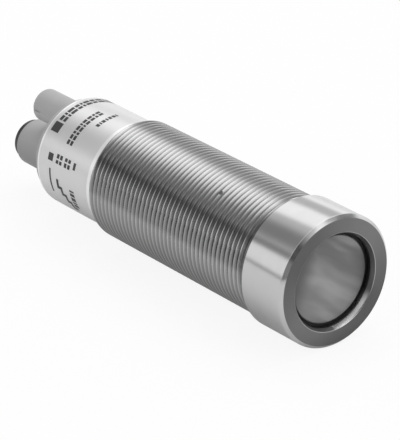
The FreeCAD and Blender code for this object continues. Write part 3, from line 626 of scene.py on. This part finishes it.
def head_ring():
    """Polished ring with its edges just broken, a bevelled mouth and a lip."""
    edge = 0.12 * MM
    turned_piece("head_ring_turned", [
        (0.0, MOUTH_EDGE, MOUTH_ROUNDING),
        (0.0, RING_RADIUS - RING_CHAMFER, edge),
        (RING_CHAMFER, RING_RADIUS, edge),
        (RING_LENGTH - RING_REAR_CHAMFER, RING_RADIUS, 0.08 * MM),
        (RING_LENGTH, RING_RADIUS - RING_REAR_CHAMFER, 0.05 * MM),
        (RING_LENGTH, NOSE_RADIUS + NOSE_PLAY),
        (LIP_THICKNESS, NOSE_RADIUS + NOSE_PLAY),
        (LIP_THICKNESS, MOUTH_RADIUS),
        (MOUTH_BEVEL_DEPTH, MOUTH_RADIUS, 0.05 * MM),
    ], polished_steel, ["head_ring"])


def thread_envelope(depth):
    """Largest radius that the blank leaves at a depth: relief, lead-in, full thread and runout."""
    if depth < THREAD_START:
        return THREAD_ROOT
    lead_in = THREAD_ROOT + (depth - THREAD_START) * (THREAD_CREST - THREAD_ROOT) / THREAD_LEAD_IN
    runout = LABEL_RADIUS + (LABEL_FRONT - depth) * (THREAD_CREST - LABEL_RADIUS) / THREAD_RUNOUT
    return max(min(lead_in, runout, THREAD_CREST), LABEL_RADIUS)


def thread_profile():
    """One pitch of the thread as (share of the pitch, radius), with a flat crest and a round root."""
    flank_rise = THREAD_CREST - THREAD_ROOT
    flank_run = flank_rise * math.tan(THREAD_FLANK_ANGLE) / THREAD_PITCH
    root_half = 0.5 - CREST_HALF - flank_run * (1 - ROOT_ROUNDING)
    profile = [(-CREST_HALF, THREAD_CREST), (CREST_HALF, THREAD_CREST)]
    for step in range(ROOT_STEPS + 1):
        across = -1 + 2 * step / ROOT_STEPS
        rise = ROOT_ROUNDING * flank_rise * across ** 2
        profile.append((0.5 + across * root_half, THREAD_ROOT + rise))
    return profile


def threaded_barrel():
    """Tube whose right-handed thread is a real helix, cut by the relief, the lead-in and the runout."""
    mesh = bmesh.new()
    profile = thread_profile()
    turns = math.ceil((LABEL_FRONT - RING_LENGTH) / THREAD_PITCH) + 2
    rows = []
    for row in range(turns * THREAD_SEGMENTS + 1):
        turn = 2 * math.pi * row / THREAD_SEGMENTS
        start = RING_LENGTH - THREAD_PITCH + turn / (2 * math.pi) * THREAD_PITCH
        points = []
        for share, radius in profile:
            depth = min(max(start + share * THREAD_PITCH, RING_LENGTH), LABEL_FRONT)
            cut = min(radius, thread_envelope(depth))
            if depth in (RING_LENGTH, LABEL_FRONT):
                cut = thread_envelope(depth)
            points.append(mesh.verts.new(place(depth, cut, -turn)))
        rows.append(points)
    for row in range(len(rows) - 1):
        here, following = rows[row], rows[row + 1]
        if row + 1 + THREAD_SEGMENTS < len(rows):
            here = here + [rows[row + THREAD_SEGMENTS][0]]
            following = following + [rows[row + 1 + THREAD_SEGMENTS][0]]
        for number in range(len(here) - 1):
            after = number + 1
            mesh.faces.new((here[number], here[after], following[after], following[number]))
    seat = LABEL_RADIUS - FOIL_THICKNESS
    lathe_faces(mesh, [
        (LABEL_FRONT, LABEL_RADIUS),
        (LABEL_FRONT, seat),
        (BARREL_END, seat),
        (BARREL_END, BORE_RADIUS),
        (NOSE_FRONT, BORE_RADIUS),
        (NOSE_FRONT, NOSE_RADIUS),
        (RING_LENGTH, NOSE_RADIUS),
        (RING_LENGTH, THREAD_ROOT),
    ], closed=False, segments=THREAD_SEGMENTS)
    replaced = ["threaded_barrel"]
    finish_piece(mesh, "barrel_with_thread", thread_steel, "housing", replaced)


INK_LIFT = 0.005 * MM
INK_THICKNESS = 0.015 * MM
INK_STEP = math.radians(3)
STROKE_OVERLAP = 0.05 * MM


def ink_patch(mesh, depth, height, along, length):
    """Closed curved patch of ink round a depth, as high along the barrel and as long round it as given."""
    first = along / LABEL_RADIUS
    last = (along + length) / LABEL_RADIUS
    steps = max(1, math.ceil((last - first) / INK_STEP))
    inner = LABEL_RADIUS + INK_LIFT
    outer = inner + INK_THICKNESS
    front, rear = depth - height / 2, depth + height / 2
    sections = []
    for number in range(steps + 1):
        turn = first + (last - first) * number / steps
        corners = [(front, inner), (rear, inner), (rear, outer), (front, outer)]
        sections.append([mesh.verts.new(place(*corner, turn)) for corner in corners])
    for here, following in zip(sections, sections[1:]):
        for side in range(4):
            after = (side + 1) % 4
            mesh.faces.new((here[side], here[after], following[after], following[side]))
    mesh.faces.new(sections[0])
    mesh.faces.new(sections[-1])


def ink_row(mesh, depth, height, start, widths, gap, stripe):
    """Row of blocks round the band, all in mm; a stripe leaves the middle of its blocks bare."""
    depth = LABEL_FRONT + depth * MM
    height = height * MM
    bar = (height - stripe * MM) / 2
    along = math.radians(start) * LABEL_RADIUS
    for width in widths:
        along -= width * MM
        if stripe:
            for side in (-1, 1):
                ink_patch(mesh, depth + side * (bar + stripe * MM) / 2, bar, along, width * MM)
        else:
            ink_patch(mesh, depth, height, along, width * MM)
        along -= gap * MM


def stair_line(mesh, depth, start, steps):
    """Thin line that goes round the band and towards the front in turns, like a plain signal diagram."""
    tread = 1.8 * MM
    rise = 1.2 * MM
    line = 0.9 * MM
    along = math.radians(start) * LABEL_RADIUS
    for number in range(steps):
        middle = LABEL_FRONT + depth * MM - number * rise
        ink_patch(mesh, middle, line, along, tread)
        along += tread
        ink_patch(mesh, middle - rise / 2, rise + 0.9 * line, along - STROKE_OVERLAP, line)


# Rows of the print: depth behind the band's front, height, turn in degrees, widths, gap and bare stripe
PRINT_ROWS = (
    (18.5, 2.9, 50, (2.7,), 0, 0),
    (18.4, 2.4, 36.5, (1.5, 0.6, 1.9, 1.2, 0.6, 1.6, 1.3, 1.9, 0.6, 1.4), 0.35, 0.4),
    (11.4, 2.2, 55, (1.2, 1.2, 0.7, 1.3, 0.5, 1.2, 1.2, 0.7, 1.2), 0.32, 0.38),
    (7.5, 1.2, 25, (0.8, 0.4, 0.9, 0.5, 0.8, 0.8, 0.4), 0.3, 0),
    (16.3, 1.9, 78, (1.9,), 0, 0),
    (12.9, 2.3, 78, (0.9, 1.1), 0.4, 0.4),
    (9.6, 2.3, 78, (1.1, 0.9), 0.4, 0.4),
    (6.8, 0.9, 76, (1.8,), 0, 0),
    (16.1, 0.6, 113, (6.6,), 0, 0),
    (7.6, 1.8, 121, (0.9, 0.5, 1.1, 0.9, 0.5), 0.35, 0),
)
STAIR_DEPTH = 13.2
STAIR_START = 94
STAIR_STEPS = 4


def label_print():
    """Plain bars and blocks where the band carries its print, and a stair line."""
    mesh = bmesh.new()
    for row in PRINT_ROWS:
        ink_row(mesh, *row)
    stair_line(mesh, STAIR_DEPTH, STAIR_START, STAIR_STEPS)
    finish_piece(mesh, "label_print", print_ink, "housing")


def label_band():
    """Thin foil round the rear of the barrel."""
    seat = LABEL_RADIUS - FOIL_THICKNESS
    edge = 0.03 * MM
    turned_piece("label_band_foil", [
        (LABEL_FRONT, seat),
        (LABEL_FRONT, LABEL_RADIUS, edge),
        (LABEL_REAR, LABEL_RADIUS, edge),
        (LABEL_REAR, seat),
    ], label_foil, ["label_band"])


def membrane():
    """Front disc with its skirt and clamping flange, with a soft turned edge."""
    front, rear = depth_span("membrane_cup")
    flange_radius = outer_radius("membrane_cup")
    disc_radius = MOUTH_RADIUS - MEMBRANE_GAP
    flange_front = rear - FLANGE_THICKNESS
    turned_piece("membrane_disc", [
        (front, 0.0),
        (front, disc_radius, MEMBRANE_ROUNDING),
        (flange_front, disc_radius),
        (flange_front, flange_radius),
        (rear, flange_radius),
        (rear, disc_radius - SKIRT_WALL),
        (front + SKIRT_WALL, disc_radius - SKIRT_WALL),
        (front + SKIRT_WALL, 0.0),
    ], membrane_foil, ["membrane_cup"])


FLAT_ANGLE = math.radians(0.4)
EDGE_ANGLE = math.radians(38)


def moulded_piece(node, finish, edge, body="housing"):
    """The solid of a moulding with its edges just broken, as they come out of the tool."""
    mesh = bmesh.new()
    mesh.from_mesh(frame["nodes"][node].data)
    bmesh.ops.remove_doubles(mesh, verts=mesh.verts, dist=0.001 * MM)
    bmesh.ops.dissolve_limit(mesh, angle_limit=FLAT_ANGLE, verts=mesh.verts, edges=mesh.edges)
    corners = [line for line in mesh.edges if line.is_manifold and line.calc_face_angle() > EDGE_ANGLE]
    bmesh.ops.bevel(mesh, geom=corners, offset=edge, segments=2, profile=0.5, affect="EDGES",
                    clamp_overlap=True)
    piece = finish_piece(mesh, node + "_moulding", finish, body, [node])
    normals = piece.modifiers.new("even_faces", "WEIGHTED_NORMAL")
    normals.keep_sharp = True


head_ring()
moulded_piece("end_cap", grey_plastic, 0.1 * MM)
moulded_piece("connector_insert", black_plastic, 0.06 * MM)
moulded_piece("teach_plug_cover", grey_plastic, 0.05 * MM, "teach_plug")
moulded_piece("teach_plug_core", black_plastic, 0.05 * MM, "teach_plug")
threaded_barrel()
label_band()
label_print()
membrane()


# Studio

FLOOR_HEIGHT = -RING_RADIUS
FLOOR_HALF_WIDTH = 2.0
FLOOR_TONE = 0.77
FLOOR_WHITE_SEEN = 0.9
FLOOR_WHITE_MIRRORED = 0.1

# Light round the axis: strength, first and last turn in degrees, softness of the edges
AMBIENT = 0.42
LIGHT_FIELDS = (
    (0.3, -78, 8, 7),
    (0.75, -43, -8, 5),
    (0.7, -125, -68, 6),
    (0.7, 57, 85, 3),
    (-0.14, 46, 55, 3),
    (-0.12, 14, 36, 6),
    (0.1, 39, 47, 3),
)


def studio_floor():
    """White paper: matt for the light that falls on it, nearly even white for the camera."""
    mesh = bmesh.new()
    bmesh.ops.create_grid(mesh, x_segments=1, y_segments=1, size=FLOOR_HALF_WIDTH)
    data = bpy.data.meshes.new("studio_floor")
    mesh.to_mesh(data)
    mesh.free()
    floor = bpy.data.objects.new("studio_floor", data)
    floor.location.z = FLOOR_HEIGHT
    bpy.context.scene.collection.objects.link(floor)
    paper = bpy.data.materials.new("studio_paper")
    paper.use_nodes = True
    m = Recipe(paper.node_tree)
    seen, glossy, through = m.rays()
    matt = m.node("ShaderNodeBsdfDiffuse", links={"Color": FLOOR_TONE})
    white = m.node("ShaderNodeEmission", links={"Color": 1.0, "Strength": 1.0})
    share = FLOOR_WHITE_SEEN * seen + FLOOR_WHITE_MIRRORED * (glossy + through)
    shade = m.node("ShaderNodeMixShader", links={0: share, 1: matt, 2: white})
    m.node_output("ShaderNodeOutputMaterial", shade)
    data.materials.append(paper)


def studio_surroundings():
    """Long soft boxes parallel to the barrel, with a dimmer front and two patches for the bevels.

    The camera itself sees plain white; x is how far a direction points to the front.
    """
    world = bpy.data.worlds.new("studio")
    world.use_nodes = True
    bpy.context.scene.world = world
    m = Recipe(world.node_tree)
    x, y, z = m.axes(m.node("ShaderNodeTexCoord", out="Generated"))
    turn = m.maths("ARCTAN2", -1 * y, z) * math.degrees(1)
    light = AMBIENT
    for strength, first, last, soft in LIGHT_FIELDS:
        light = light + strength * m.band(turn, first, last, soft)
    front = m.step(x, 0.05, 0.45)
    light = light * (1 - 0.72 * front * m.band(turn, 24, 100, 8))
    far_side = 0.3 * m.band(turn, -118, -67, 5) + 0.6 * m.band(turn, -67, -25, 5)
    light = light * (1 - m.band(x, 0.12, 0.55, 0.08) * far_side)
    outer_bevel_patch = m.band(x, 0.72, 0.86, 0.07) * m.band(turn, -46, -4, 8)
    overhead_patch = m.band(x, -0.45, 0.22, 0.1) * m.band(turn, -55, 60, 10)
    light = light + 1.1 * outer_bevel_patch + 1.2 * overhead_patch
    seen = m.rays()[0]
    lit = m.node("ShaderNodeBackground", links={"Color": 1.0, "Strength": light})
    white = m.node("ShaderNodeBackground", links={"Color": 1.0, "Strength": 1.0})
    shade = m.node("ShaderNodeMixShader", links={0: seen, 1: lit, 2: white})
    m.node_output("ShaderNodeOutputWorld", shade)


# Where the lens looks, and from where
AIM = Vector((-0.04489, -0.0029, 0.0))
CAMERA_DISTANCE = 0.63893
CAMERA_AZIMUTH = math.radians(-38.475)
CAMERA_ELEVATION = math.radians(24.634)
SENSOR = 36.0
FOCAL_LENGTH = 223.96


def camera():
    """Long lens at the photograph's angle: the front face points to the lower right."""
    data = bpy.data.cameras.new("camera")
    data.sensor_width = SENSOR
    data.lens = FOCAL_LENGTH
    made = bpy.data.objects.new("camera", data)
    back = Vector((
        math.cos(CAMERA_ELEVATION) * math.cos(CAMERA_AZIMUTH),
        math.cos(CAMERA_ELEVATION) * math.sin(CAMERA_AZIMUTH),
        math.sin(CAMERA_ELEVATION),
    ))
    made.location = AIM + back * CAMERA_DISTANCE
    made.rotation_euler = back.to_track_quat("Z", "Y").to_euler()
    bpy.context.scene.collection.objects.link(made)
    bpy.context.scene.camera = made


studio_floor()
studio_surroundings()
camera()
bpy.context.scene.view_settings.view_transform = "Standard"

SLOT_FINISHES = {
    "polished_steel": polished_steel,
    "thread_steel": thread_steel,
    "label_foil": label_foil,
    "membrane_foil": membrane_foil,
    "black_rubber": black_rubber,
    "damping_rubber": damping_rubber,
    "grey_plastic": grey_plastic,
    "carrier_plastic": carrier_plastic,
    "black_plastic": black_plastic,
    "contact_gold": contact_gold,
    "piezo_ceramic": silvered_ceramic,
    "matching_epoxy": filled_epoxy,
    "board_laminate": glass_fibre_board,
    "ferrite": sintered_ferrite,
    "winding_copper": wound_copper,
    "can_aluminium": drawn_aluminium,
    "package_black": moulded_package,
    "chip_ceramic": chip_ceramic,
    "lead_insulation": lead_insulation,
    "lamp_resin": lamp_resin,
    "guide_resin": light_rod_resin,
}


def dress_nodes():
    """Every CAD node that stays shown takes the finish of its slot."""
    for part in frame["record"]["subparts"]:
        data = frame["nodes"][part["node"]].data
        data.materials.clear()
        data.materials.append(SLOT_FINISHES[part["material_slot"]])


dress_nodes()
